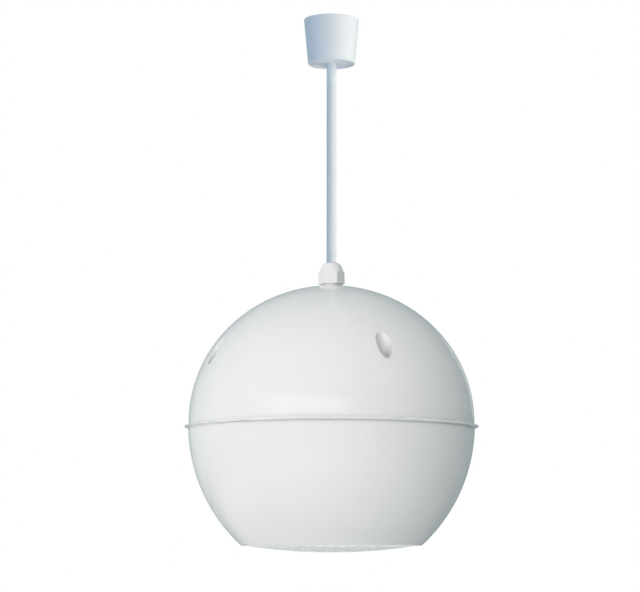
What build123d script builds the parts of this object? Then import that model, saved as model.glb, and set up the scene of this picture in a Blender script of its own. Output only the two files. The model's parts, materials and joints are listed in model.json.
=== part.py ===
from build123d import *
from math import acos, degrees, sqrt
import os

# A pendant speaker: a round two-piece housing that hangs on its own cord.
# Lengths are in millimetres and angles in degrees. +Z is up and the front is -Y.
# The origin is the centre of the hanging eye, inside the ceiling cup.
# Heights of the housing are worked out from the seam between its two shells.

# Hanging length
eye_above_seam = 258.5
ceiling_above_eye = 9.5

# Ceiling cup and the rubber grommet in its floor
cup_top_radius = 18.1
cup_bottom_radius = 15.4
cup_height = 29.6
cup_wall = 1.2
cup_belly = 1.0
cup_foot = 1.2
cup_edge_round = 0.4
grommet_radius = 4.4
grommet_flange_width = 2.2
grommet_flange = 1.2

# Cord
cord_radius = 3.2
cord_running_clearance = 0.05
cord_top_below_eye = 9.8
cord_tail_below_gland = 3.0
conductor_radius = 0.8
conductor_spread = 1.6
conductor_forward = 0.8
conductor_rise = 2.2
conductor_bend = 1.6

# Hanger: an eye on a split clamp that grips the cord
eye_radius = 3.2
eye_rim = 2.6
eye_thickness = 4.0
neck_behind_cord_axis = 0.5
clamp_width = 15.0
clamp_depth = 6.0
clamp_height = 7.0
clamp_gap = 0.6
clamp_edge_radius = 1.2
hanger_screw_radius = 1.25
hanger_screw_clearance = 0.15
hanger_screw_spread = 5.5
hanger_screw_head_radius = 1.9
hanger_screw_head = 1.5
hanger_screw_length = 10.0

# Terminal block on the clamp's front shelf
shelf_thickness = 1.5
terminal_width = 13.0
terminal_depth = 6.0
terminal_height = 7.0
terminal_pitch = 6.0
terminal_screw_radius = 1.6
terminal_screw_depth = 3.0
terminal_parting = 0.8

# Cable gland
gland_hex_corners = 16.7
gland_hex_height = 8.3
gland_hex_chamfer = 0.7
gland_dome_radius = 7.2
gland_dome_top_radius = 6.8
gland_dome_height = 5.9
gland_dome_round = 3.1
gland_dome_hole = 3.6
gland_nut_gap = 0.6
gland_thread_radius = 6.0
gland_thread_clearance = 0.1
gland_thread_height = 9.0
gland_press_room = 1.0
gland_collar_radius = 6.8
gland_collar = 0.6
gland_tail = 11.5
gland_bore_radius = 3.8
gland_seal_radius = 4.9
gland_seal_clearance = 0.05
gland_seal_depth = 6.0
gland_washer = 0.4
gland_washer_radius = 6.9
gland_hole_clearance = 0.25
lock_nut_corners = 17.5
lock_nut_height = 3.0

# Upper shell
shell_radius = 91.9
shell_straight = 3.2
dome_rise = 88.0
shell_wall = 2.5
pole_seat_radius = 7.6
pole_pad_radius = 13.0
pole_pad = 2.2
lip_overhang = 2.6
lip_above_seam = 0.9
lip_below_seam = 1.4
lip_edge = 0.25
lip_root_inset = 0.5

# Screw pockets and shell screws
screw_count = 4
screw_inset = 12.4
screw_first_angle = -66.2
pocket_radius = 5.0
pocket_wall = 1.5
pocket_floor_above_seam = 3.0
pocket_floor = 3.0
shell_screw_radius = 2.0
shell_screw_clearance = 0.25
shell_screw_head_radius = 4.0
shell_screw_head = 2.8
shell_screw_length = 18.0
screw_tip_room = 1.0

# Lower shell
seam_gasket = 0.6
seam_gasket_inset = 0.6
lower_overhang = 0.3
lower_arc_above_seam = 1.85
rim_drop = 75.9
rim_outside_hole = 8.3
rim_wall = 2.4
rim_round = 0.8
tongue_clearance = 0.3
tongue_wall = 2.2
tongue_rise = 2.6
tongue_root = 5.0
boss_radius = 5.0
boss_depth = 18.0
boss_rib = 3.0
baffle_drop = 66.9
baffle_thickness = 4.0

# Grille and the fleece behind it
grille_sheet = 1.0
grille_clearance = 0.2
grille_bulge = 4.3
grille_corner = 1.6
grille_hole_radius = 2.4
grille_pitch = 7.4
grille_border = 3.6
fleece_sheet = 0.4

# Driver frame and its seat
driver_seat_width = 9.4
driver_gasket = 1.0
driver_gasket_inset = 0.5
basket_sheet = 1.2
basket_bend = 1.0
basket_shelf_outer = 37.0
basket_shelf_inner = 30.0
basket_shelf_rise = 25.4
basket_back_rise = 33.4
basket_back_hole = 15.5
basket_windows = 6
basket_window_width = 26.0
basket_window_height = 15.0
basket_window_round = 3.0
driver_screw_count = 4
driver_screw_outside_hole = 5.6
driver_screw_radius = 1.6
driver_screw_clearance = 0.2
driver_screw_head_radius = 3.2
driver_screw_head = 2.0
driver_screw_length = 5.6
driver_screw_angle = 45.0

# Magnet system
top_plate_radius = 34.0
top_plate = 5.0
magnet_radius = 35.0
magnet_hole = 17.0
magnet_height = 13.0
yoke_radius = 33.0
yoke_plate = 6.0
pole_radius = 12.1
gap_radius = 13.9
plate_chamfer = 0.8

# Moving parts of the driver
former_inner_radius = 12.5
former_wall = 0.25
winding_wall = 0.65
winding_height = 9.0
coil_back_room = 4.2
cone_radius = 40.0
cone_rim = 2.6
cone_depth = 21.5
cone_sheet = 0.6
surround_sheet = 0.5
surround_roll = 3.4
surround_seat = 2.6
spider_sheet = 0.5
spider_lip = 2.4
spider_seat = 4.0
spider_ripples = 4
spider_ripple_height = 0.7
cap_radius = 15.5
cap_rise = 5.0
cap_sheet = 0.4

# Line transformer on the back of the magnet
core_width = 41.0
core_height = 34.0
core_depth = 14.0
core_side_leg = 6.5
core_yoke = 6.8
core_window = 7.5
bobbin_wall = 0.8
bobbin_clearance = 0.2
bobbin_reach = 6.0
winding_inset = 0.7
frame_sheet = 0.8
frame_width = 11.0
frame_foot = 9.0
frame_screw_radius = 1.5
frame_screw_clearance = 0.2
frame_screw_head_radius = 2.8
frame_screw_head = 1.8
frame_screw_length = 5.5

# Terminal strip on the driver frame, and the wiring inside the housing
strip_length = 15.0
strip_width = 14.0
strip_sheet = 1.5
tab_width = 2.8
tab_height = 5.0
tab_sheet = 0.8
tab_spread = 3.5
lead_radius = 0.8
lead_bend = 5.0
lead_spread = 6.0
lead_run = 14.0

# Damping lining of the dome
lining = 6.0
lining_inner_radius = 18.0
lining_clearance = 9.0

# Heights that follow from the sizes above
seam_z = -eye_above_seam
cup_foot_z = ceiling_above_eye - cup_height
cup_floor_z = cup_foot_z + cup_foot
cord_top_z = -cord_top_below_eye
clamp_bottom_z = cord_top_z - clamp_height
dome_centre_z = seam_z + shell_straight
dome_top_z = dome_centre_z + dome_rise
pole_seat_z = dome_centre_z + dome_rise * sqrt(1 - (pole_seat_radius / shell_radius) ** 2)
pole_inner_z = dome_top_z - shell_wall - pole_pad
collar_bottom_z = pole_seat_z + gland_washer
collar_top_z = collar_bottom_z + gland_collar
hex_bottom_z = collar_top_z + gland_nut_gap
hex_top_z = hex_bottom_z + gland_hex_height
gland_top_z = hex_top_z + gland_dome_height
thread_top_z = collar_top_z + gland_thread_height
press_z = thread_top_z + gland_press_room
gland_tail_z = collar_bottom_z - gland_tail
cord_tail_z = gland_tail_z - cord_tail_below_gland
pocket_bottom_z = seam_z + pocket_floor_above_seam
pocket_seat_z = pocket_bottom_z + pocket_floor
joint_z = seam_z - lip_below_seam
lower_top_z = joint_z - seam_gasket
rim_z = seam_z - rim_drop
grille_apex_z = rim_z - grille_bulge
baffle_top_z = seam_z - baffle_drop
baffle_bottom_z = baffle_top_z - baffle_thickness
flange_z = baffle_top_z + driver_gasket
shelf_z = flange_z + basket_shelf_rise
plate_z = flange_z + basket_back_rise + basket_sheet
magnet_z = plate_z + top_plate
yoke_z = magnet_z + magnet_height
yoke_back_z = yoke_z + yoke_plate
neck_z = flange_z + cone_depth
core_top_z = yoke_back_z + core_height

# Radii that follow
inner_radius = shell_radius - shell_wall
lip_radius = shell_radius + lip_overhang
screw_circle = shell_radius - screw_inset
lining_outer_radius = screw_circle - pocket_radius - pocket_wall - lining_clearance
former_radius = former_inner_radius + former_wall
mouth_radius = cone_radius + 2 * surround_roll
baffle_hole = mouth_radius + surround_seat + grille_clearance
driver_flange_radius = baffle_hole + driver_seat_width
driver_screw_circle = baffle_hole + driver_screw_outside_hole

# The lower shell's curve: an arc from its widest ring, where it is upright, to the rim
widest_radius = shell_radius + lower_overhang
rim_radius = baffle_hole + rim_outside_hole
narrowing = widest_radius - rim_radius
lower_arc_radius = (narrowing**2 + (rim_drop + lower_arc_above_seam) ** 2) / (2 * narrowing)
lower_arc_offset = lower_arc_radius - widest_radius


def save(shape, node):
    shape.label = node
    export_step(shape, f"parts/{node}.step")


def lathe(*edges):
    """Turn a closed outline, drawn in radius and height, about the Z axis."""
    return revolve(Plane.XZ * make_face(list(edges)), Axis.Z)


def turned(*points):
    """Turn a closed outline of straight edges, given as (radius, height) points."""
    return lathe(*Polyline(*points, close=True).edges())


def ring(inner, outer, low, high):
    return turned((inner, low), (outer, low), (outer, high), (inner, high))


def rod(radius, low, high, x=0.0, y=0.0):
    upright = Cylinder(radius, high - low, align=(Align.CENTER, Align.CENTER, Align.MIN))
    return Pos(x, y, low) * upright


def block(x_range, y_range, z_range):
    """A box between the low and the high value given for each axis."""
    low, high = zip(x_range, y_range, z_range)
    size = [b - a for a, b in zip(low, high)]
    middle = [(a + b) / 2 for a, b in zip(low, high)]
    return Pos(*middle) * Box(*size)


def sheet_ring(path, thickness, side):
    """Turn a sheet whose one face follows an open path of radius and height."""
    outline = make_face(offset(path, thickness, side=side).edges())
    return revolve(Plane.XZ * outline, Axis.Z)


def hexagon(corners, low, height):
    """A hexagonal prism with flat sides to the front and the back."""
    return Pos(0, 0, low) * extrude(RegularPolygon(corners / 2, 6), height)


def around(count, first_angle, radius):
    """Places on a circle round the Z axis, each with its X axis pointing outward."""
    step = 360 / count
    return [Rot(0, 0, first_angle + step * i) * Pos(radius, 0, 0) for i in range(count)]


def group(shapes):
    return Compound(children=list(shapes))


def pan_screw(shank, length, head_radius, head):
    """A screw with a rounded head and a cross recess, the head's seat at height 0."""
    crown = fillet(rod(head_radius, 0, head).edges().sort_by(Axis.Z)[-1], head * 0.6)
    slot = Box(head_radius, head_radius / 4, head)
    cross = Pos(0, 0, head) * (slot + Rot(0, 0, 90) * slot)
    return crown + rod(shank, -length, 0) - cross


def wire(radius, bend, *points):
    """A round wire along straight runs that are joined by arcs."""
    path = FilletPolyline(*points, radius=bend)
    start = Plane(origin=path @ 0, z_dir=path % 0)
    return sweep(start * Circle(radius), path)


# Curves of the two shells


def dome_arc(inset, inner, outer=None):
    """The dome's curve, or one inside it, drawn from an outer radius in to an inner one."""
    a = shell_radius - inset
    start = 0 if outer is None else degrees(acos(outer / a))
    end = degrees(acos(inner / a))
    return EllipticalCenterArc((0, dome_centre_z), a, dome_rise - inset, start, arc_size=end - start)


def lower_radius(height, inset=0.0):
    """Radius of the lower shell's surface, or of one inside it, at a height."""
    above_centre = height - seam_z - lower_arc_above_seam
    return sqrt((lower_arc_radius - inset) ** 2 - above_centre**2) - lower_arc_offset


def lower_arc(high, low, inset=0.0):
    heights = (high, (high + low) / 2, low)
    return ThreePointArc(*[(lower_radius(z, inset), z) for z in heights])


rim_inner = rim_radius - rim_wall
grille_radius = rim_inner - grille_clearance
screw_places = around(screw_count, screw_first_angle, screw_circle)
driver_screw_places = around(driver_screw_count, driver_screw_angle, driver_screw_circle)


# Ceiling cup, hanger and terminal block


def belly_z(radius, inset=0.0):
    """Height of the cup's floor, which is part of a large ball, at a radius."""
    ball = (cup_bottom_radius**2 + cup_belly**2) / (2 * cup_belly)
    return cup_floor_z - cup_belly + ball - sqrt((ball - inset) ** 2 - radius**2)


def belly_arc(outer, inner, inset=0.0):
    radii = (outer, (outer + inner) / 2, inner)
    return ThreePointArc(*[(radius, belly_z(radius, inset)) for radius in radii])


def ceiling_cup():
    """A tapered cup whose wall stands below its floor as a rounded foot."""
    taper = (cup_top_radius - cup_bottom_radius) / cup_height
    corner = cup_bottom_radius - cup_wall
    outer = belly_arc(corner, grommet_radius)
    inner = belly_arc(corner, grommet_radius, cup_wall)
    top_inner = corner + taper * (ceiling_above_eye - belly_z(corner, cup_wall))
    side = Polyline(
        inner @ 0,
        (top_inner, ceiling_above_eye),
        (cup_top_radius, ceiling_above_eye),
        (cup_bottom_radius, cup_foot_z),
        (corner, cup_foot_z),
        outer @ 0,
    )
    cup = lathe(outer, Line(outer @ 1, inner @ 1), inner, *side.edges())
    return fillet(cup.edges().filter_by(GeomType.CIRCLE).group_by(Axis.Z)[0], cup_edge_round)


def cup_grommet():
    bore = cord_radius + cord_running_clearance
    flange_radius = grommet_radius + grommet_flange_width
    seat_z = belly_z(flange_radius, cup_wall)
    bottom_z = belly_z(grommet_radius)
    bush = ring(bore, grommet_radius, bottom_z, seat_z)
    return bush + ring(bore, flange_radius, seat_z, seat_z + grommet_flange)


def hanger_body():
    neck = block((-eye_thickness / 2, eye_thickness / 2), (neck_behind_cord_axis, clamp_depth), (cord_top_z, 0))
    head = Rot(0, 90, 0) * Cylinder(eye_radius + eye_rim, eye_thickness)
    back = block(
        (-clamp_width / 2, clamp_width / 2), (clamp_gap / 2, clamp_depth), (clamp_bottom_z, cord_top_z)
    )
    back = fillet(back.edges().filter_by(Axis.Z).group_by(Axis.Y)[-1], clamp_edge_radius)
    body = back + neck + head
    body -= Rot(0, 90, 0) * Cylinder(eye_radius, eye_thickness)
    body -= rod(cord_radius, clamp_bottom_z, cord_top_z)
    for place in hanger_screw_places():
        body -= place * rod(hanger_screw_radius, -hanger_screw_length - clamp_gap, 0)
    return body


def hanger_screw_places():
    """Where the clamp screws' heads sit, on the saddle's front face, driven backward."""
    middle_z = (clamp_bottom_z + cord_top_z - shelf_thickness) / 2
    return [
        Pos(side * hanger_screw_spread, -clamp_depth, middle_z) * Rot(90, 0, 0) for side in (-1, 1)
    ]


def hanger_saddle():
    half_width = clamp_width / 2
    front = block((-half_width, half_width), (-clamp_depth, -clamp_gap / 2), (clamp_bottom_z, cord_top_z))
    front = fillet(front.edges().filter_by(Axis.Z).group_by(Axis.Y)[0], clamp_edge_radius)
    half_terminal = terminal_width / 2
    shelf = block(
        (-half_terminal, half_terminal),
        (-clamp_depth - terminal_depth, -clamp_depth + clamp_edge_radius),
        (cord_top_z - shelf_thickness, cord_top_z),
    )
    saddle = front + shelf - rod(cord_radius, clamp_bottom_z, cord_top_z)
    for place in hanger_screw_places():
        saddle -= place * rod(hanger_screw_radius + hanger_screw_clearance, -clamp_depth, 0)
    return saddle


def hanger_screws():
    screw = pan_screw(hanger_screw_radius, hanger_screw_length, hanger_screw_head_radius, hanger_screw_head)
    return group([place * screw for place in hanger_screw_places()])


def terminal_block():
    """A two-pole block with a raised wall between its poles and open screw wells."""
    half_width = terminal_width / 2
    y_range = (-clamp_depth - terminal_depth, -clamp_depth)
    body = block((-half_width, half_width), y_range, (cord_top_z, cord_top_z + terminal_height))
    body -= block(
        (-terminal_parting / 2, terminal_parting / 2),
        y_range,
        (cord_top_z + terminal_height / 2, cord_top_z + terminal_height),
    )
    for place in terminal_places():
        body -= place * rod(terminal_screw_radius, -terminal_screw_depth, 0)
    return body


def terminal_places():
    middle_y = -clamp_depth - terminal_depth / 2
    top_z = cord_top_z + terminal_height
    return [Pos(side * terminal_pitch / 2, middle_y, top_z) for side in (-1, 1)]


def terminal_screws():
    slot = Box(2 * terminal_screw_radius, terminal_screw_radius / 2, terminal_screw_depth / 2)
    head = rod(terminal_screw_radius, -terminal_screw_depth, -terminal_screw_depth / 2)
    screw = head - Pos(0, 0, -terminal_screw_depth / 2) * slot
    return group([place * screw for place in terminal_places()])


def cord_conductors():
    """The two wires that leave the cord's top end and bend forward into the terminal block."""
    height = cord_top_z + conductor_rise
    wires = []
    for side in (-1, 1):
        x = side * conductor_spread
        points = [(x, -conductor_forward, cord_top_z), (x, -conductor_forward, height), (x, -clamp_depth, height)]
        wires.append(wire(conductor_radius, conductor_bend, *points))
    return group(wires)


def cord():
    return rod(cord_radius, cord_tail_z, cord_top_z)


# Cable gland


def gland_nut():
    """The dome nut: a chamfered hexagon under a rounded dome."""
    hex_part = hexagon(gland_hex_corners, hex_bottom_z, gland_hex_height)
    corner = gland_hex_corners / 2
    slim = corner - 2 * gland_hex_chamfer
    chamfers = turned(
        (0, hex_bottom_z),
        (slim, hex_bottom_z),
        (corner, hex_bottom_z + gland_hex_chamfer),
        (corner, hex_top_z - gland_hex_chamfer),
        (slim, hex_top_z),
        (0, hex_top_z),
    )
    dome = turned(
        (0, hex_top_z),
        (gland_dome_radius, hex_top_z),
        (gland_dome_top_radius, gland_top_z),
        (0, gland_top_z),
    )
    dome = fillet(dome.edges().filter_by(GeomType.CIRCLE).sort_by(Axis.Z)[-1], gland_dome_round)
    nut = (hex_part & chamfers) + dome
    nut -= rod(gland_dome_hole, press_z, gland_top_z)
    return nut - rod(gland_thread_radius + gland_thread_clearance, hex_bottom_z, press_z)


def gland_body():
    """The threaded body, with a collar outside the shell and a socket for the seal."""
    body = rod(gland_thread_radius, gland_tail_z, thread_top_z)
    body += rod(gland_collar_radius, collar_bottom_z, collar_top_z)
    body -= rod(gland_bore_radius, gland_tail_z, thread_top_z)
    socket = gland_seal_radius + gland_seal_clearance
    return body - rod(socket, thread_top_z - gland_seal_depth, thread_top_z)


def gland_seal():
    return ring(cord_radius, gland_seal_radius, thread_top_z - gland_seal_depth, press_z)


def gland_washer_ring():
    hole = gland_thread_radius + gland_hole_clearance
    return ring(hole, gland_washer_radius, pole_seat_z, collar_bottom_z)


def gland_lock_nut():
    nut = hexagon(lock_nut_corners, pole_inner_z - lock_nut_height, lock_nut_height)
    return nut - rod(gland_thread_radius, pole_inner_z - lock_nut_height, pole_inner_z)


# Upper shell: dome, lip, pole seat and the four deep screw pockets


def upper_shell():
    outer = dome_arc(0, pole_seat_radius)
    inner = dome_arc(shell_wall, pole_pad_radius)
    hole = gland_thread_radius + gland_hole_clearance
    pole = Polyline(
        outer @ 1,
        (hole, pole_seat_z),
        (hole, pole_inner_z),
        (pole_pad_radius, pole_inner_z),
        inner @ 1,
    )
    lip = Polyline(
        inner @ 0,
        (inner_radius, joint_z),
        (shell_radius - lip_root_inset, joint_z),
        (lip_radius, seam_z - lip_edge),
        (lip_radius, seam_z + lip_edge),
        (shell_radius, seam_z + lip_above_seam),
        outer @ 0,
    )
    shell = lathe(outer, inner, *pole.edges(), *lip.edges())
    return with_pockets(shell)


def with_pockets(shell):
    """Add a tube below each pocket, closed by a floor that the screw's head sits on."""
    outline = dome_arc(0, 0)
    foot = Polyline(outline @ 1, (0, joint_z), (shell_radius, joint_z), outline @ 0)
    filled_dome = lathe(outline, *foot.edges())
    tube = rod(pocket_radius + pocket_wall, pocket_bottom_z, dome_top_z)
    hole = rod(shell_screw_radius + shell_screw_clearance, joint_z, pocket_seat_z)
    pocket = rod(pocket_radius, pocket_seat_z, dome_top_z) + hole
    trimmed = (screw_places[0] * tube) & filled_dome
    tubes = [Rot(0, 0, 360 / screw_count * i) * trimmed for i in range(screw_count)]
    return shell + tubes - [place * pocket for place in screw_places]


def shell_screws():
    screw = pan_screw(shell_screw_radius, shell_screw_length, shell_screw_head_radius, shell_screw_head)
    return group([place * Pos(0, 0, pocket_seat_z) * screw for place in screw_places])


def seam_gasket_ring():
    return ring(inner_radius, shell_radius - seam_gasket_inset, lower_top_z, joint_z)


def damping_lining():
    """A soft layer against the dome's inside, clear of the gland and the screw tubes."""
    outer = dome_arc(shell_wall, lining_inner_radius, lining_outer_radius)
    inner = dome_arc(shell_wall + lining, lining_inner_radius, lining_outer_radius)
    return lathe(outer, inner, Line(outer @ 0, inner @ 0), Line(outer @ 1, inner @ 1))


# Lower shell: bowl, locating tongue, screw bosses, baffle and rim


def lower_shell():
    outer = lower_arc(lower_top_z, rim_z)
    root_z = lower_top_z - tongue_root
    inner = lower_arc(root_z, baffle_top_z, shell_wall)
    tongue_outer = inner_radius - tongue_clearance
    tongue_inner = tongue_outer - tongue_wall
    mouth = Polyline(
        outer @ 1,
        (rim_inner, rim_z),
        (rim_inner, baffle_bottom_z),
        (baffle_hole, baffle_bottom_z),
        (baffle_hole, baffle_top_z),
        inner @ 1,
    )
    tongue = Polyline(
        inner @ 0,
        (tongue_inner, root_z + tongue_wall),
        (tongue_inner, seam_z + tongue_rise),
        (tongue_outer, seam_z + tongue_rise),
        (tongue_outer, lower_top_z),
        outer @ 0,
    )
    shell = lathe(outer, inner, *mouth.edges(), *tongue.edges())
    rim_edges = shell.edges().filter_by(GeomType.CIRCLE).group_by(Axis.Z)[0]
    shell = fillet(rim_edges, rim_round)
    return with_bosses(shell)


def with_bosses(shell):
    """Add the ribbed bosses for the shell screws and the holes for the driver's screws."""
    bottom = lower_top_z - boss_depth
    bowl_arc = lower_arc(lower_top_z, bottom)
    closing = Polyline(bowl_arc @ 1, (0, bottom), (0, lower_top_z), bowl_arc @ 0)
    bowl = lathe(bowl_arc, *closing.edges())
    rib = block((0, shell_radius - screw_circle), (-boss_rib / 2, boss_rib / 2), (bottom, lower_top_z))
    boss = rod(boss_radius, bottom, pocket_bottom_z)
    bosses = [place * boss + ((place * rib) & bowl) for place in screw_places]
    screw_tip = pocket_seat_z - shell_screw_length - screw_tip_room
    screw_hole = rod(shell_screw_radius, screw_tip, pocket_bottom_z)
    driver_tip = flange_z + basket_sheet - driver_screw_length
    driver_hole = rod(driver_screw_radius, driver_tip, baffle_top_z)
    holes = [place * screw_hole for place in screw_places]
    holes += [place * driver_hole for place in driver_screw_places]
    return shell + bosses - holes


# Grille: a shallow perforated dome with a skirt that presses into the rim


def grille_form(inset):
    """The space inside the grille's outer surface, or inside one that lies deeper."""
    radius = grille_radius - inset
    edge_z = rim_z + inset
    apex_z = grille_apex_z + inset
    rise = edge_z - apex_z
    ball = (radius**2 + rise**2) / (2 * rise)
    halfway = (radius / 2, apex_z + ball - sqrt(ball**2 - (radius / 2) ** 2))
    dome = ThreePointArc((radius, edge_z), halfway, (0, apex_z))
    sides = Polyline((0, apex_z), (0, baffle_bottom_z), (radius, baffle_bottom_z), (radius, edge_z))
    outline = make_face([dome, *sides.edges()])
    corner = outline.vertices().sort_by_distance((radius, edge_z))[0]
    outline = fillet(corner, grille_corner - inset)
    return revolve(Plane.XZ * outline, Axis.Z)


def grille_holes():
    """Holes in a triangular pattern over a round field."""
    field = grille_radius - grille_border - grille_hole_radius
    row_pitch = grille_pitch * sqrt(3) / 2
    rows = int(field / row_pitch) + 1
    holes = []
    for row in range(-rows, rows + 1):
        y = row * row_pitch
        shift = 0.5 * (row % 2)
        for column in range(-rows - 1, rows + 2):
            x = (column + shift) * grille_pitch
            if x * x + y * y <= field * field:
                holes.append(rod(grille_hole_radius, grille_apex_z, rim_z + grille_sheet, x, y))
    return holes


def grille():
    sheet = grille_form(0) - grille_form(grille_sheet)
    return sheet - grille_holes()


def grille_fleece():
    layer = grille_form(grille_sheet) - grille_form(grille_sheet + fleece_sheet)
    field = grille_radius - grille_sheet - grille_corner
    return layer & rod(field, grille_apex_z, rim_z + 2 * grille_sheet)


# Driver frame


def basket():
    path = FilletPolyline(
        (driver_flange_radius, flange_z),
        (mouth_radius, flange_z),
        (basket_shelf_outer, shelf_z),
        (basket_shelf_inner, shelf_z),
        (basket_shelf_inner, plate_z - basket_sheet),
        (basket_back_hole, plate_z - basket_sheet),
        radius=basket_bend,
    )
    frame = sheet_ring(path, basket_sheet, Side.RIGHT)
    shape = RectangleRounded(basket_window_height, basket_window_width, basket_window_round)
    window = Rot(0, 90, 0) * extrude(shape, mouth_radius - basket_shelf_inner)
    middle_z = (flange_z + shelf_z + basket_sheet) / 2
    for place in around(basket_windows, 0, basket_shelf_inner + basket_sheet):
        frame -= place * Pos(0, 0, middle_z) * window
    hole = driver_screw_radius + driver_screw_clearance
    for place in driver_screw_places:
        frame -= place * rod(hole, flange_z, flange_z + basket_sheet)
    return frame


def driver_gasket_ring():
    seal = ring(baffle_hole + driver_gasket_inset, driver_flange_radius, baffle_top_z, flange_z)
    hole = driver_screw_radius + driver_screw_clearance
    for place in driver_screw_places:
        seal -= place * rod(hole, baffle_top_z, flange_z)
    return seal


def driver_screws():
    screw = pan_screw(driver_screw_radius, driver_screw_length, driver_screw_head_radius, driver_screw_head)
    return group([place * Pos(0, 0, flange_z + basket_sheet) * screw for place in driver_screw_places])


# Magnet system


def broken_plate(hole, radius, low, high):
    """A turned plate whose outer edges are chamfered."""
    inner = radius - plate_chamfer
    return turned(
        (hole, low),
        (inner, low),
        (radius, low + plate_chamfer),
        (radius, high - plate_chamfer),
        (inner, high),
        (hole, high),
    )


def yoke():
    """The back plate and the pole, turned in one piece, with the tapped frame holes."""
    body = broken_plate(0, yoke_radius, yoke_z, yoke_back_z) + rod(pole_radius, plate_z, yoke_z)
    for place in frame_screw_places():
        body -= place * rod(frame_screw_radius, frame_sheet - frame_screw_length, 0)
    return body


# Moving parts of the driver


def coil_former():
    return ring(former_inner_radius, former_radius, neck_z, yoke_z - coil_back_room)


def coil_winding():
    middle = plate_z + top_plate / 2
    outer = former_radius + winding_wall
    return ring(former_radius, outer, middle - winding_height / 2, middle + winding_height / 2)


def cone():
    path = Polyline((former_radius, neck_z), (cone_radius - cone_rim, flange_z), (cone_radius, flange_z))
    return sheet_ring(path, cone_sheet, Side.LEFT)


def surround():
    """The half-roll edge, glued to the front of the cone's rim and of the frame."""
    start = (cone_radius - cone_rim, flange_z)
    inner = (cone_radius, flange_z)
    low = (cone_radius + surround_roll, flange_z - surround_roll)
    outer = (mouth_radius, flange_z)
    end = (mouth_radius + surround_seat, flange_z)
    path = Line(start, inner) + ThreePointArc(inner, low, outer) + Line(outer, end)
    return sheet_ring(path, surround_sheet, Side.RIGHT)


def spider():
    """The rippled centring disc between the coil former and the frame's shelf."""
    first = former_radius + spider_lip
    last = basket_shelf_inner - spider_ripple_height
    half = (last - first) / (2 * spider_ripples)
    path = Line((former_radius, shelf_z), (first, shelf_z))
    for i in range(2 * spider_ripples):
        start = first + i * half
        bulge = -spider_ripple_height if i % 2 == 0 else spider_ripple_height
        path += ThreePointArc((start, shelf_z), (start + half / 2, shelf_z + bulge), (start + half, shelf_z))
    path += Line((last, shelf_z), (basket_shelf_inner + spider_seat, shelf_z))
    return sheet_ring(path, spider_sheet, Side.RIGHT)


def dust_cap():
    """A shallow dome glued to the cone's front, bulging forward."""
    slope = cone_depth / (cone_radius - cone_rim - former_radius)
    seat_z = neck_z - slope * (cap_radius - former_radius)
    outer = cap_arc(cap_radius, seat_z, cap_rise)
    inner = cap_arc(cap_radius - cap_sheet, seat_z, cap_rise - cap_sheet)
    return lathe(outer, inner, Line(outer @ 0, inner @ 0), Line(outer @ 1, inner @ 1))


def cap_arc(radius, seat_z, rise):
    ball = (radius**2 + rise**2) / (2 * rise)
    halfway = (radius / 2, seat_z - rise + ball - sqrt(ball**2 - (radius / 2) ** 2))
    return ThreePointArc((radius, seat_z), halfway, (0, seat_z - rise))


# Line transformer on the back of the yoke


def core_window_range():
    return (yoke_back_z + core_yoke, core_top_z - core_yoke)


def transformer_core():
    """A stack of laminations with a window on each side of its middle leg."""
    half_width = core_width / 2
    half_depth = core_depth / 2
    core = block((-half_width, half_width), (-half_depth, half_depth), (yoke_back_z, core_top_z))
    far = half_width - core_side_leg
    for low, high in ((-far, core_window - far), (far - core_window, far)):
        core -= block((low, high), (-half_depth, half_depth), core_window_range())
    return core


def coil_space(gap):
    """A block round the middle leg that fills the windows, smaller by a gap all round."""
    x = core_width / 2 - core_side_leg - gap
    y = core_depth / 2 + bobbin_reach - gap
    low, high = core_window_range()
    shape = block((-x, x), (-y, y), (low + gap, high - gap))
    return fillet(shape.edges().filter_by(Axis.Z), bobbin_wall + gap)


def leg_space(gap):
    """The middle leg's own space, wider by a gap all round."""
    x = core_width / 2 - core_side_leg - core_window + gap
    y = core_depth / 2 + gap
    return block((-x, x), (-y, y), core_window_range())


def transformer_bobbin():
    inner = bobbin_clearance + bobbin_wall
    low, high = core_window_range()
    far = core_width
    middle = block((-far, far), (-far, far), (low + inner, high - inner))
    spool = coil_space(bobbin_clearance) - (middle - leg_space(inner))
    return spool - leg_space(bobbin_clearance)


def transformer_winding():
    inner = bobbin_clearance + bobbin_wall
    low, high = core_window_range()
    far = core_width
    middle = block((-far, far), (-far, far), (low + inner, high - inner))
    return (coil_space(winding_inset) & middle) - leg_space(inner)


def frame_screw_places():
    reach = core_width / 2 + frame_sheet + frame_foot / 2
    return [Pos(side * reach, 0, yoke_back_z) for side in (-1, 1)]


def transformer_frame():
    """A bent strap over the core whose feet are screwed to the back plate."""
    half_width = core_width / 2
    outer = half_width + frame_sheet
    foot = outer + frame_foot
    y_range = (-frame_width / 2, frame_width / 2)
    strap = block((-outer, outer), y_range, (yoke_back_z, core_top_z + frame_sheet))
    strap += block((-foot, foot), y_range, (yoke_back_z, yoke_back_z + frame_sheet))
    strap -= block((-half_width, half_width), y_range, (yoke_back_z, core_top_z))
    hole = frame_screw_radius + frame_screw_clearance
    for place in frame_screw_places():
        strap -= place * rod(hole, 0, frame_sheet)
    return strap


def transformer_screws():
    screw = pan_screw(frame_screw_radius, frame_screw_length, frame_screw_head_radius, frame_screw_head)
    return group([place * Pos(0, 0, frame_sheet) * screw for place in frame_screw_places()])


# Terminal strip and wiring

strip_z = shelf_z + basket_sheet
strip_outer = basket_shelf_inner + basket_sheet + strip_length
tab_y = strip_outer - tab_sheet
bobbin_top_z = core_top_z - core_yoke - bobbin_clearance
bobbin_y = core_depth / 2 + bobbin_reach - bobbin_clearance - 2 * lead_radius


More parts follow.
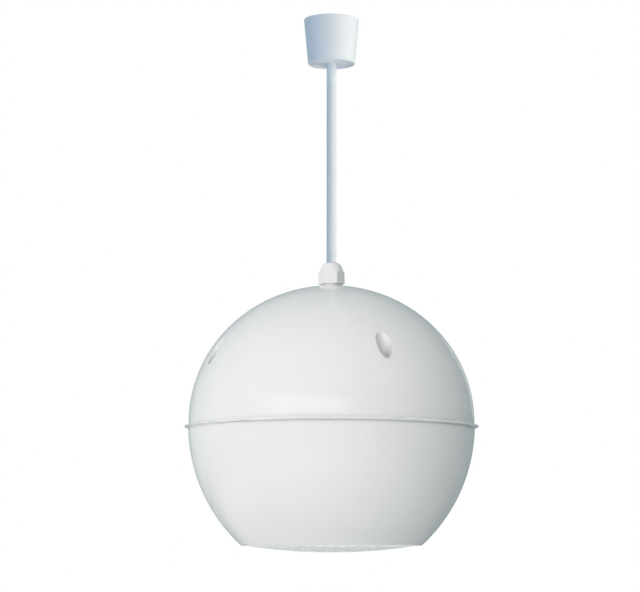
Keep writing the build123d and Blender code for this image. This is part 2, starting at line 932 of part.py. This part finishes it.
def terminal_strip():
    half_width = strip_width / 2
    inner = basket_shelf_inner + basket_sheet
    return block((-half_width, half_width), (inner, strip_outer), (strip_z, strip_z + strip_sheet))


def terminal_tabs():
    top_z = strip_z + strip_sheet
    tabs = []
    for side in (-1, 1):
        x = side * tab_spread
        x_range = (x - tab_width / 2, x + tab_width / 2)
        foot = block(x_range, (tab_y - tab_width, tab_y), (top_z, top_z + tab_sheet))
        tabs.append(foot + block(x_range, (tab_y - tab_sheet, tab_y), (top_z, top_z + tab_height)))
    return group(tabs)


def line_leads():
    """From the cord's stripped end down to the front of the transformer's bobbin."""
    leads = []
    for side in (-1, 1):
        top_x = side * conductor_spread
        low_x = side * lead_spread
        points = [
            (top_x, 0, cord_tail_z),
            (top_x, 0, cord_tail_z - lead_run),
            (low_x, -bobbin_y, bobbin_top_z + lead_run),
            (low_x, -bobbin_y, bobbin_top_z),
        ]
        leads.append(wire(lead_radius, lead_bend, *points))
    return group(leads)


def speaker_leads():
    """From the back of the bobbin over the magnet's edge to the driver's tabs."""
    lead_y = tab_y - tab_sheet / 2
    tab_top = strip_z + strip_sheet + tab_height
    leads = []
    for side in (-1, 1):
        points = [
            (side * lead_spread, bobbin_y, bobbin_top_z),
            (side * lead_spread, bobbin_y, bobbin_top_z + lead_run),
            (side * tab_spread, lead_y, bobbin_top_z),
            (side * tab_spread, lead_y, tab_top),
        ]
        leads.append(wire(lead_radius, lead_bend, *points))
    return group(leads)


def main():
    os.makedirs("parts", exist_ok=True)
    nodes = {
        "ceiling_cup": ceiling_cup(),
        "cup_grommet": cup_grommet(),
        "hanger_body": hanger_body(),
        "hanger_saddle": hanger_saddle(),
        "hanger_screws": hanger_screws(),
        "terminal_block": terminal_block(),
        "terminal_screws": terminal_screws(),
        "cord_conductors": cord_conductors(),
        "cord": cord(),
        "gland_nut": gland_nut(),
        "gland_body": gland_body(),
        "gland_seal": gland_seal(),
        "gland_washer": gland_washer_ring(),
        "gland_lock_nut": gland_lock_nut(),
        "upper_shell": upper_shell(),
        "shell_screws": shell_screws(),
        "seam_gasket": seam_gasket_ring(),
        "damping_lining": damping_lining(),
        "lower_shell": lower_shell(),
        "grille": grille(),
        "grille_fleece": grille_fleece(),
        "driver_basket": basket(),
        "driver_gasket": driver_gasket_ring(),
        "driver_screws": driver_screws(),
        "top_plate": broken_plate(gap_radius, top_plate_radius, plate_z, magnet_z),
        "magnet_ring": broken_plate(magnet_hole, magnet_radius, magnet_z, yoke_z),
        "yoke": yoke(),
        "coil_former": coil_former(),
        "coil_winding": coil_winding(),
        "cone": cone(),
        "surround": surround(),
        "spider": spider(),
        "dust_cap": dust_cap(),
        "transformer_core": transformer_core(),
        "transformer_bobbin": transformer_bobbin(),
        "transformer_winding": transformer_winding(),
        "transformer_frame": transformer_frame(),
        "transformer_screws": transformer_screws(),
        "terminal_strip": terminal_strip(),
        "terminal_tabs": terminal_tabs(),
        "line_leads": line_leads(),
        "speaker_leads": speaker_leads(),
    }
    for node, shape in nodes.items():
        save(shape, node)


main()
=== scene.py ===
import json
import math

import bpy
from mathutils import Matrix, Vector


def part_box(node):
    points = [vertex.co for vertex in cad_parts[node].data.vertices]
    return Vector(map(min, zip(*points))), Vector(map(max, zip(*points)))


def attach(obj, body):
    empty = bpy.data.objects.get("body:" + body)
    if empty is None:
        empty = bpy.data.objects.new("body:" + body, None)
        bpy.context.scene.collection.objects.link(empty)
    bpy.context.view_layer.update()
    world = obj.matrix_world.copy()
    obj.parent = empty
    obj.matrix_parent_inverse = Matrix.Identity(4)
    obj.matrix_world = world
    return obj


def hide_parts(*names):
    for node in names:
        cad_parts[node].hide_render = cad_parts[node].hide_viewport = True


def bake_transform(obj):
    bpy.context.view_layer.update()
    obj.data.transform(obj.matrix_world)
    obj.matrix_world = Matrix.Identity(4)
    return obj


# A pendant speaker hung on its cord from a small ceiling cup, in metres, in the frame of the CAD
# part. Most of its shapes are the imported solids, which get their materials here. The cord, the
# gland nut and the two flexing rings of the driver are drawn in place of their solids. The camera,
# the lamps, the world and the floor make the studio.

MM = 0.001

# Camera, which looks along +Y and a little upward
CAMERA_PLACE = (0, -1.4168, -0.347)
CAMERA_PITCH = 6.98
FOCAL_LENGTH = 123.77
SENSOR_WIDTH = 36.0
IMAGE_WIDTH = 640
AXIS_COLUMN = 331.5

# Cord: its route is part.py's, from the clamp in the cup down through the gland
CORD_DIAMETER = 0.0064
CORD_ROUTE = [(0, 0, -0.0098), (0, 0, -0.045), (0, 0, -0.085), (0, 0, -0.135), (0, 0, -0.1817)]
CORD_BEVEL_RESOLUTION = 10
CORD_LENGTH_RESOLUTION = 12

# Gland nut: square lower corners and a round dome, as in the photo. Its section is a loop of
# (radius, height above the hexagon's top) in mm, which the hexagon's flats cut. One flat faces
# NUT_FRONT_FLAT, and the section's rings have a point every NUT_STEP. Angles are in degrees.
NUT_CORNER_RADIUS = 8.5 * MM
NUT_FRONT_FLAT = -95
NUT_STEP = 3
NUT_SHARP_ANGLE = 28
HEXAGON_HEIGHT = 8.3 * MM
HEXAGON_TURN = 60
NUT_SECTION = [
    (6.1, -8.3), (8.5, -8.3), (8.5, -0.7), (7.65, 0), (7.4, 0.8), (7.05, 2.1), (6.55, 3.3),
    (5.9, 4.3), (5.1, 5.1), (4.3, 5.6), (3.6, 5.85), (3.4, 5.8), (3.4, 3.6), (6.1, 3.2),
]

# Places that the lamps aim at
BALL_CENTRE = Vector((0, 0, -0.2585))
CUP_CENTRE = Vector((0, 0, -0.06))
GRILLE_CENTRE = Vector((0, 0, -0.335))

# Colours of the lamps
WARM = (1.0, 0.957, 0.95)
NEUTRAL = (0.97, 0.98, 0.98)
WHITE = (1, 1, 1)
CUP_CREAM = (1.0, 0.95, 0.82)
CUP_SKY = (0.5, 0.74, 1.0)
CUP_BLUE = (0.6, 0.7, 1.0)

# Light of the room: its level grows along the slope, toward the back and the left
ROOM_COLOUR = (0.74, 0.965, 1.0)
ROOM_LEVEL = 0.23
ROOM_SLOPE = (-0.07, 0.175, 0)

# Floor, which glows only for the camera, so that it stays pale and keeps its shadow
FLOOR_HEIGHT = -1.3
FLOOR_SIZE = 9.0
FLOOR_COLOUR = (0.82, 0.82, 0.82)
FLOOR_ROUGHNESS = 0.9
FLOOR_GLOW = 0.45

PLASTIC_IOR = 1.5

# The Mix node's sockets for colours, whose names its sockets for numbers have too
MIX_FIRST = 6
MIX_SECOND = 7
MIX_RESULT = 2

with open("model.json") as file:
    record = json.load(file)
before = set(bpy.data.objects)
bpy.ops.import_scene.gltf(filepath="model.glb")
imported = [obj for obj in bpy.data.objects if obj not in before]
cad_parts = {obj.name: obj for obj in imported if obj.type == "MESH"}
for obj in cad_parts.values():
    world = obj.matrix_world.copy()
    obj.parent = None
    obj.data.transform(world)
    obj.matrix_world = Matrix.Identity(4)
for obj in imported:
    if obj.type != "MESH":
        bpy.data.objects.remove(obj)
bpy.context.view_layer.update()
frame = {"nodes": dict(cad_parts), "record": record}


# Helpers


def set_sockets(node, **values):
    """Set a node's input sockets by name, with underscores for spaces."""
    for name, value in values.items():
        node.inputs[name.replace("_", " ")].default_value = value


def add_object(name, data):
    """A new object in the scene."""
    added = bpy.data.objects.new(name, data)
    bpy.context.scene.collection.objects.link(added)
    return added


class Finish:
    """A Principled material with shortcuts for the textures that drive its sockets."""

    def __init__(self, name, colour, roughness, metallic=0.0):
        self.material = bpy.data.materials.new(name)
        self.material.use_nodes = True
        self.tree = self.material.node_tree
        self.shader = self.tree.nodes["Principled BSDF"]
        self.colour = colour
        self.set(Base_Color=(*colour, 1), Roughness=roughness, Metallic=metallic, IOR=PLASTIC_IOR)
        self.place = self.node("TexCoord").outputs["Object"]

    def set(self, **values):
        """Set the shader's own sockets."""
        set_sockets(self.shader, **values)

    def node(self, kind, **values):
        """A new node with its sockets set."""
        added = self.tree.nodes.new("ShaderNode" + kind)
        set_sockets(added, **values)
        return added

    def link(self, output, target):
        self.tree.links.new(output, target)

    def stretched(self, scale):
        """The piece's own coordinates, scaled by a different factor along each axis."""
        mapping = self.node("Mapping", Scale=scale)
        self.link(self.place, mapping.inputs["Vector"])
        return mapping.outputs["Vector"]

    def noise(self, size, detail=3.0, rough=0.5, stretch=None):
        """Noise whose features are about size metres across."""
        node = self.node("TexNoise", Scale=1 / size, Detail=detail, Roughness=rough)
        self.link(self.stretched(stretch) if stretch else self.place, node.inputs["Vector"])
        return node.outputs["Fac"]

    def cells(self, size):
        """Distance from the middles of irregular cells about size metres across."""
        node = self.node("TexVoronoi", Scale=1 / size)
        self.link(self.place, node.inputs["Vector"])
        return node.outputs["Distance"]

    def lines(self, pitch, axis):
        """Even lines a pitch apart across an axis."""
        node = self.node("TexWave", Scale=math.pi / (10 * pitch))
        node.bands_direction = axis
        self.link(self.place, node.inputs["Vector"])
        return node.outputs["Fac"]

    def ranged(self, value, low, high, start=0.3, end=0.7):
        """A texture value between start and end, spread over the range from low to high."""
        node = self.node("MapRange", From_Min=start, From_Max=end, To_Min=low, To_Max=high)
        self.link(value, node.inputs["Value"])
        return node.outputs["Result"]

    def maths(self, operation, first, second):
        """A maths operation on a texture value and another one, or a number."""
        node = self.node("Math")
        node.operation = operation
        self.link(first, node.inputs[0])
        if isinstance(second, float):
            node.inputs[1].default_value = second
        else:
            self.link(second, node.inputs[1])
        return node.outputs["Value"]

    def mix_colours(self, factor, first, second):
        """Colour the surface from the first colour to the second one by a texture value."""
        node = self.node("Mix")
        node.data_type = "RGBA"
        self.link(factor, node.inputs["Factor"])
        node.inputs[MIX_FIRST].default_value = (*first, 1)
        node.inputs[MIX_SECOND].default_value = (*second, 1)
        self.link(node.outputs[MIX_RESULT], self.shader.inputs["Base Color"])

    def vary_colour(self, factor, darker):
        """Shift the colour toward a slightly darker one where the texture is low."""
        low = tuple(channel * darker for channel in self.colour)
        self.mix_colours(factor, low, self.colour)

    def mottle(self, size, detail, darker):
        """Cloudy patches of a slightly darker colour."""
        self.vary_colour(self.ranged(self.noise(size, detail), 0, 1), darker)

    def vary_roughness(self, value, low, high):
        self.link(self.ranged(value, low, high), self.shader.inputs["Roughness"])

    def bump(self, value, height):
        """Raise the surface by up to height metres."""
        node = self.node("Bump", Distance=height, Strength=1.0)
        self.link(value, node.inputs["Height"])
        self.link(node.outputs["Normal"], self.shader.inputs["Normal"])


# Materials, one function for each slot of the record


def moulded(name, colour, low, high, grain, height):
    """Injection-moulded plastic: a gentle flow pattern in the gloss and a fine skin."""
    finish = Finish(name, colour, low)
    finish.mottle(18 * MM, detail=2.0, darker=0.985)
    finish.vary_roughness(finish.noise(4 * MM, detail=4.0), low, high)
    finish.bump(finish.noise(grain), height)
    return finish.material


def shell_plastic():
    """High-gloss white moulding, a little translucent, with a very slight orange peel."""
    finish = Finish("shell_plastic", (0.83, 0.835, 0.832), 0.12)
    finish.mottle(40 * MM, detail=2.0, darker=0.992)
    finish.vary_roughness(finish.noise(6 * MM, detail=5.0, rough=0.6), 0.02, 0.04)
    finish.bump(finish.noise(3.2 * MM, detail=1.0), 0.002 * MM)
    finish.set(Subsurface_Weight=0.5, Subsurface_Scale=4 * MM, Subsurface_Radius=(1, 1, 1))
    return finish.material


def cup_plastic():
    return moulded("cup_plastic", (0.75, 0.785, 0.87), 0.30, 0.42, 0.9 * MM, 0.006 * MM)


def cord_sheath():
    """Smooth extruded sheath, with faint lines along its length from the die."""
    finish = Finish("cord_sheath", (0.70, 0.755, 0.82), 0.4)
    die = finish.noise(0.5 * MM, rough=0.6, stretch=(1, 1, 0.02))
    finish.mottle(9 * MM, detail=3.0, darker=0.975)
    finish.vary_roughness(die, 0.36, 0.5)
    finish.bump(die, 0.015 * MM)
    return finish.material


def gland_plastic():
    return moulded("gland_plastic", (0.80, 0.805, 0.80), 0.34, 0.46, 0.5 * MM, 0.008 * MM)


def nylon():
    return moulded("nylon", (0.80, 0.80, 0.77), 0.38, 0.52, 0.6 * MM, 0.01 * MM)


def terminal_plastic():
    return moulded("terminal_plastic", (0.72, 0.70, 0.65), 0.42, 0.58, 0.5 * MM, 0.01 * MM)


def bobbin_plastic():
    return moulded("bobbin_plastic", (0.03, 0.03, 0.032), 0.40, 0.55, 0.5 * MM, 0.012 * MM)


def rubber_grey():
    return moulded("rubber_grey", (0.72, 0.725, 0.73), 0.62, 0.78, 0.35 * MM, 0.02 * MM)


def surround_rubber():
    return moulded("surround_rubber", (0.022, 0.022, 0.022), 0.50, 0.66, 0.3 * MM, 0.012 * MM)


def foam_black():
    """Closed-cell foam with its cells open at the cut face."""
    finish = Finish("foam_black", (0.03, 0.03, 0.03), 0.9)
    cells = finish.cells(0.5 * MM)
    finish.vary_colour(finish.ranged(cells, 0, 1, start=0.1, end=0.6), 0.5)
    finish.vary_roughness(finish.noise(1.5 * MM), 0.82, 0.96)
    finish.bump(cells, 0.12 * MM)
    return finish.material


def zinc_steel():
    """Bright zinc on steel, with the crystal bloom of the plating."""
    finish = Finish("zinc_steel", (0.70, 0.71, 0.72), 0.3, metallic=1.0)
    bloom = finish.cells(1.6 * MM)
    finish.vary_colour(finish.ranged(bloom, 0, 1, start=0.1, end=0.7), 0.86)
    finish.vary_roughness(finish.noise(1.2 * MM, detail=4.0, rough=0.6), 0.22, 0.40)
    finish.bump(finish.noise(0.3 * MM), 0.006 * MM)
    return finish.material


def copper():
    """Enamelled wire in close turns."""
    finish = Finish("copper", (0.62, 0.27, 0.13), 0.3, metallic=1.0)
    turns = finish.lines(0.3 * MM, "Z")
    finish.vary_colour(turns, 0.55)
    finish.vary_roughness(finish.noise(0.8 * MM), 0.22, 0.36)
    finish.bump(turns, 0.1 * MM)
    finish.set(Coat_Weight=0.6, Coat_Roughness=0.15)
    return finish.material


def tab_brass():
    """Stamped brass, with fine marks along the tabs."""
    finish = Finish("tab_brass", (0.70, 0.56, 0.30), 0.3, metallic=1.0)
    marks = finish.noise(0.5 * MM, detail=4.0, rough=0.6, stretch=(1, 1, 0.1))
    finish.mottle(1.5 * MM, detail=4.0, darker=0.8)
    finish.vary_roughness(marks, 0.24, 0.44)
    finish.bump(finish.noise(0.2 * MM), 0.006 * MM)
    return finish.material


def fibres(name, colour, size, height, darker, low=0.86, high=0.98, sheen=0.3):
    """Loose fibres that cross in every direction."""
    finish = Finish(name, colour, low)
    strands = finish.noise(size, detail=8.0, rough=0.72)
    finish.vary_colour(finish.ranged(strands, 0, 1), darker)
    finish.vary_roughness(finish.noise(4 * size), low, high)
    finish.bump(strands, height)
    finish.set(Sheen_Weight=sheen)
    return finish.material


def wadding():
    return fibres("wadding", (0.78, 0.78, 0.76), 3.0 * MM, 1.2 * MM, darker=0.78)


def fleece_black():
    return fibres("fleece_black", (0.016, 0.016, 0.017), 0.7 * MM, 0.25 * MM, darker=0.45)


def cone_paper():
    """Pressed pulp, dyed through, with short matted fibres."""
    return fibres(
        "cone_paper", (0.03, 0.03, 0.031), 0.8 * MM, 0.05 * MM,
        darker=0.6, low=0.72, high=0.88, sheen=0.1,
    )


def grille_paint():
    """Satin powder coat on steel sheet."""
    finish = Finish("grille_paint", (0.84, 0.845, 0.84), 0.38)
    finish.mottle(12 * MM, detail=2.0, darker=0.98)
    finish.vary_roughness(finish.noise(2 * MM, detail=4.0), 0.34, 0.48)
    finish.bump(finish.noise(0.7 * MM, detail=2.0), 0.03 * MM)
    return finish.material


def basket_paint():
    """Black satin paint over pressed steel."""
    finish = Finish("basket_paint", (0.022, 0.022, 0.023), 0.4)
    finish.mottle(5 * MM, detail=4.0, darker=0.7)
    finish.vary_roughness(finish.noise(2 * MM, detail=4.0), 0.32, 0.50)
    finish.bump(finish.noise(0.5 * MM, detail=2.0), 0.03 * MM)
    return finish.material


def ferrite():
    """Pressed and ground ceramic: matt, dark, with tiny pits."""
    finish = Finish("ferrite", (0.045, 0.045, 0.048), 0.7)
    mottling = finish.noise(1.2 * MM, detail=6.0, rough=0.7)
    pits = finish.ranged(finish.cells(0.7 * MM), 0, 1, start=0.0, end=0.25)
    finish.vary_colour(finish.ranged(mottling, 0, 1), 0.6)
    finish.vary_roughness(finish.noise(0.6 * MM, detail=4.0), 0.58, 0.8)
    finish.bump(pits, 0.03 * MM)
    return finish.material


def spider_cloth():
    """Open weave dipped in resin."""
    finish = Finish("spider_cloth", (0.50, 0.33, 0.13), 0.7)
    weave = finish.maths("MAXIMUM", finish.lines(0.6 * MM, "X"), finish.lines(0.6 * MM, "Y"))
    finish.vary_colour(weave, 0.55)
    finish.vary_roughness(finish.noise(1.5 * MM), 0.55, 0.75)
    finish.bump(weave, 0.12 * MM)
    return finish.material


def lamination():
    """Varnished steel sheets, seen on edge as fine lines."""
    finish = Finish("lamination", (0.16, 0.16, 0.175), 0.45, metallic=0.6)
    sheets = finish.lines(0.5 * MM, "Y")
    finish.vary_colour(sheets, 0.5)
    finish.vary_roughness(finish.noise(1.5 * MM, detail=4.0), 0.36, 0.58)
    finish.bump(sheets, 0.06 * MM)
    return finish.material


def winding_tape():
    """Yellow polyester tape wound in overlapping turns."""
    finish = Finish("winding_tape", (0.72, 0.52, 0.07), 0.3)
    laps = finish.ranged(finish.lines(4.5 * MM, "Z"), 0, 1, start=0.47, end=0.53)
    finish.mottle(3 * MM, detail=3.0, darker=0.86)
    finish.vary_roughness(finish.noise(1.4 * MM), 0.22, 0.36)
    finish.bump(laps, 0.06 * MM)
    return finish.material


def strip_board():
    """Brown paper laminate with the fibres of its sheets."""
    finish = Finish("strip_board", (0.33, 0.18, 0.07), 0.5)
    grain = finish.noise(1.2 * MM, detail=6.0, rough=0.7, stretch=(0.2, 1, 1))
    finish.vary_colour(finish.ranged(grain, 0, 1), 0.72)
    finish.vary_roughness(finish.noise(1 * MM), 0.42, 0.6)
    finish.bump(grain, 0.02 * MM)
    return finish.material


def lead_insulation():
    """Wire insulation, red on the right-hand lead of each pair and black on the left-hand one."""
    red = (0.50, 0.03, 0.02)
    black = (0.02, 0.02, 0.02)
    finish = Finish("lead_insulation", red, 0.4)
    split = finish.node("SeparateXYZ")
    finish.link(finish.place, split.inputs["Vector"])
    right = finish.maths("GREATER_THAN", split.outputs["X"], 0.0)
    finish.mix_colours(right, black, red)
    finish.vary_roughness(finish.noise(1.5 * MM, detail=4.0), 0.34, 0.48)
    finish.bump(finish.noise(0.4 * MM, detail=2.0), 0.008 * MM)
    return finish.material


finish_makers = [
    shell_plastic, cup_plastic, cord_sheath, gland_plastic, nylon, terminal_plastic, bobbin_plastic,
    rubber_grey, surround_rubber, foam_black, zinc_steel, copper, tab_brass, wadding, fleece_black,
    cone_paper, grille_paint, basket_paint, ferrite, spider_cloth, lamination, winding_tape,
    strip_board, lead_insulation,
]
finishes = {make.__name__: make() for make in finish_makers}

for part in frame["record"]["subparts"]:
    piece = frame["nodes"][part["node"]]
    piece.data.materials.clear()
    piece.data.materials.append(finishes[part["material_slot"]])


# Cord


def draw_cord():
    """The sheathed cord, straight under the speaker's weight, clamp to gland."""
    curve = bpy.data.curves.new("pendant_cord", "CURVE")
    curve.dimensions = "3D"
    curve.bevel_depth = CORD_DIAMETER / 2
    curve.bevel_resolution = CORD_BEVEL_RESOLUTION
    curve.use_fill_caps = True
    spline = curve.splines.new("NURBS")
    spline.points.add(len(CORD_ROUTE) - 1)
    for point, place in zip(spline.points, CORD_ROUTE):
        point.co = (*place, 1)
    spline.order_u = 3
    spline.use_endpoint_u = True
    spline.resolution_u = CORD_LENGTH_RESOLUTION
    curve.materials.append(finishes["cord_sheath"])
    return add_object("pendant_cord", curve)


cord = draw_cord()
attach(cord, "root")
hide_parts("cord")


# Gland nut


def nut_ring(radius, height):
    """Points round the cord's axis at a radius, brought in where the hexagon's flats cut it."""
    half_turn = HEXAGON_TURN / 2
    flat_distance = NUT_CORNER_RADIUS * math.cos(math.radians(half_turn))
    ring = []
    for step in range(0, 360, NUT_STEP):
        from_flat = math.radians((step + half_turn) % HEXAGON_TURN - half_turn)
        cut = min(radius, flat_distance / math.cos(from_flat))
        turn = math.radians(NUT_FRONT_FLAT + step)
        ring.append((cut * math.cos(turn), cut * math.sin(turn), height))
    return ring


def draw_gland_nut():
    """The dome nut, whose section goes round the cord's axis in rings of points."""
    lowest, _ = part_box("gland_nut")
    hexagon_top = lowest[2] + HEXAGON_HEIGHT
    places = []
    for radius, height in NUT_SECTION:
        places.extend(nut_ring(radius * MM, hexagon_top + height * MM))
    around = 360 // NUT_STEP
    faces = []
    for ring in range(len(NUT_SECTION)):
        here = ring * around
        after = (ring + 1) % len(NUT_SECTION) * around
        for step in range(around):
            beside = (step + 1) % around
            faces.append((here + step, here + beside, after + beside, after + step))
    mesh = bpy.data.meshes.new("gland_nut_visual")
    mesh.from_pydata(places, [], faces)
    mesh.shade_smooth()
    mesh.set_sharp_from_angle(angle=math.radians(NUT_SHARP_ANGLE))
    mesh.materials.append(finishes["gland_plastic"])
    return add_object("gland_nut_visual", mesh)


nut = draw_gland_nut()
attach(nut, "root")
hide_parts("gland_nut")


# Flexing rings of the driver


def flexing_ring(node):
    """A copy of a ring of the driver, drawn in place of its solid, which it hides.
    """
    mesh = frame["nodes"][node].data.copy()
    ring = add_object(node + "_flexing", mesh)
    places = [vertex.co.copy() for vertex in mesh.vertices]
    for vertex, place in zip(mesh.vertices, places):
        vertex.co = (place.xy.length, 0, 0)
    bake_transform(ring)
    for vertex, place in zip(mesh.vertices, places):
        vertex.co = place
    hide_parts(node)


flexing_ring("surround")
flexing_ring("spider")


# Camera


def place_camera():
    data = bpy.data.cameras.new("camera")
    data.sensor_width = SENSOR_WIDTH
    data.lens = FOCAL_LENGTH
    data.shift_x = (IMAGE_WIDTH / 2 - AXIS_COLUMN) / IMAGE_WIDTH
    camera = add_object("camera", data)
    camera.location = CAMERA_PLACE
    camera.rotation_euler = (math.radians(90 + CAMERA_PITCH), 0, 0)
    bpy.context.scene.camera = camera


place_camera()


# Lamps


def linked_group(name, pieces, state):
    """A light-linking group that takes a lamp in, or keeps it off, the pieces in it."""
    group = bpy.data.collections.new(name)
    for piece in pieces:
        group.objects.link(piece)
    for item in group.collection_objects:
        item.light_linking.link_state = state
    return group


def lamp(name, place, target, level, size, colour, group, glossy=False):
    """An area lamp that gives a white surface facing it, at its target, the brightness level."""
    to_target = target - Vector(place)
    data = bpy.data.lights.new(name, "AREA")
    data.shape = "RECTANGLE"
    data.size, data.size_y = size
    data.energy = level * math.pi**2 * to_target.length**2
    data.color = colour
    light = add_object(name, data)
    light.location = place
    light.rotation_euler = to_target.to_track_quat("-Z", "Y").to_euler()
    light.visible_camera = False
    light.visible_glossy = glossy
    light.light_linking.receiver_collection = group


hanging_pieces = [cord, frame["nodes"]["ceiling_cup"], frame["nodes"]["cup_grommet"]]
only_hanging = linked_group("only_hanging", hanging_pieces, "INCLUDE")
not_hanging = linked_group("not_hanging", hanging_pieces, "EXCLUDE")
only_grille = linked_group("only_grille", [frame["nodes"]["grille"]], "INCLUDE")


def ball_lamp(name, place, level, size, colour=WARM, glossy=False):
    """A lamp for everything but the cup and the cord. A glossy one also shows as a reflection."""
    lamp(name, place, BALL_CENTRE, level, size, colour, not_hanging, glossy)


def cup_lamp(name, place, level, size, colour):
    """A lamp for the cup and the cord alone, which the photo lights from the right."""
    lamp(name, place, CUP_CENTRE, level, size, colour, only_hanging)


ball_lamp("key", (-1.5, -2.7, 0.1), level=0.45, size=(1.8, 1.8))
ball_lamp("left", (-2.8, -0.6, -0.2), level=0.115, size=(1.8, 1.8))
ball_lamp("top", (0.05, -0.6, 1.3), level=0.43, size=(2.0, 2.0))
ball_lamp("low", (0.0, -0.9, -1.15), level=0.085, size=(1.2, 1.2))
ball_lamp("right", (1.9, -2.3, 0.6), level=0.24, size=(1.6, 1.6), colour=NEUTRAL)
ball_lamp("rear", (-2.3, 1.1, -0.1), level=0.29, size=(1.6, 1.6))
ball_lamp("window", (-0.85, -2.45, 0.26), level=0.12, size=(3.2, 0.65), glossy=True)
ball_lamp("strip", (0.71, 1.82, 0.14), level=0.005, size=(0.34, 0.5), glossy=True)
lamp("under", (0.0, -0.35, -1.0), GRILLE_CENTRE, 0.50, (0.6, 0.6), WHITE, only_grille)
cup_lamp("cup_key", (0.92, -0.53, -0.06), level=2.0, size=(2.0, 2.0), colour=CUP_CREAM)
cup_lamp("cup_fill", (-1.2, -0.5, -0.06), level=0.33, size=(1.2, 1.2), colour=CUP_SKY)
cup_lamp("cup_front", (0.5, -1.3, -0.06), level=0.1, size=(1.2, 1.2), colour=CUP_BLUE)


# World and floor


def room_light(tree):
    """The room's light, a little stronger on one side."""
    place = tree.nodes.new("ShaderNodeTexCoord")
    slope = tree.nodes.new("ShaderNodeVectorMath")
    slope.operation = "DOT_PRODUCT"
    slope.inputs[1].default_value = ROOM_SLOPE
    level = tree.nodes.new("ShaderNodeMath")
    level.operation = "ADD"
    level.inputs[1].default_value = ROOM_LEVEL
    room = tree.nodes.new("ShaderNodeBackground")
    set_sockets(room, Color=(*ROOM_COLOUR, 1))
    tree.links.new(place.outputs["Generated"], slope.inputs[0])
    tree.links.new(slope.outputs["Value"], level.inputs[0])
    tree.links.new(level.outputs["Value"], room.inputs["Strength"])
    return room.outputs["Background"]


def set_world():
    """White behind the object, and the room's light for all other rays."""
    world = bpy.data.worlds.new("studio")
    bpy.context.scene.world = world
    world.use_nodes = True
    tree = world.node_tree
    tree.nodes.clear()
    output = tree.nodes.new("ShaderNodeOutputWorld")
    mix = tree.nodes.new("ShaderNodeMixShader")
    path = tree.nodes.new("ShaderNodeLightPath")
    white = tree.nodes.new("ShaderNodeBackground")
    set_sockets(white, Color=(*WHITE, 1), Strength=1.0)
    tree.links.new(path.outputs["Is Camera Ray"], mix.inputs["Fac"])
    tree.links.new(room_light(tree), mix.inputs[1])
    tree.links.new(white.outputs["Background"], mix.inputs[2])
    tree.links.new(mix.outputs["Shader"], output.inputs["Surface"])


def floor_paint():
    """Plain pale paint that glows only for the camera."""
    material = bpy.data.materials.new("floor_paint")
    material.use_nodes = True
    tree = material.node_tree
    shader = tree.nodes["Principled BSDF"]
    set_sockets(
        shader, Base_Color=(*FLOOR_COLOUR, 1), Roughness=FLOOR_ROUGHNESS, Emission_Color=(*WHITE, 1)
    )
    path = tree.nodes.new("ShaderNodeLightPath")
    glow = tree.nodes.new("ShaderNodeMath")
    glow.operation = "MULTIPLY"
    glow.inputs[1].default_value = FLOOR_GLOW
    tree.links.new(path.outputs["Is Camera Ray"], glow.inputs[0])
    tree.links.new(glow.outputs["Value"], shader.inputs["Emission Strength"])
    return material


def lay_floor():
    """A plain pale floor below the speaker."""
    half = FLOOR_SIZE / 2
    corners = [(-half, -half), (half, -half), (half, half), (-half, half)]
    mesh = bpy.data.meshes.new("floor")
    mesh.from_pydata([(*corner, FLOOR_HEIGHT) for corner in corners], [], [(0, 1, 2, 3)])
    mesh.materials.append(floor_paint())
    floor = add_object("floor", mesh)


set_world()
lay_floor()
bpy.context.scene.view_settings.view_transform = "Standard"
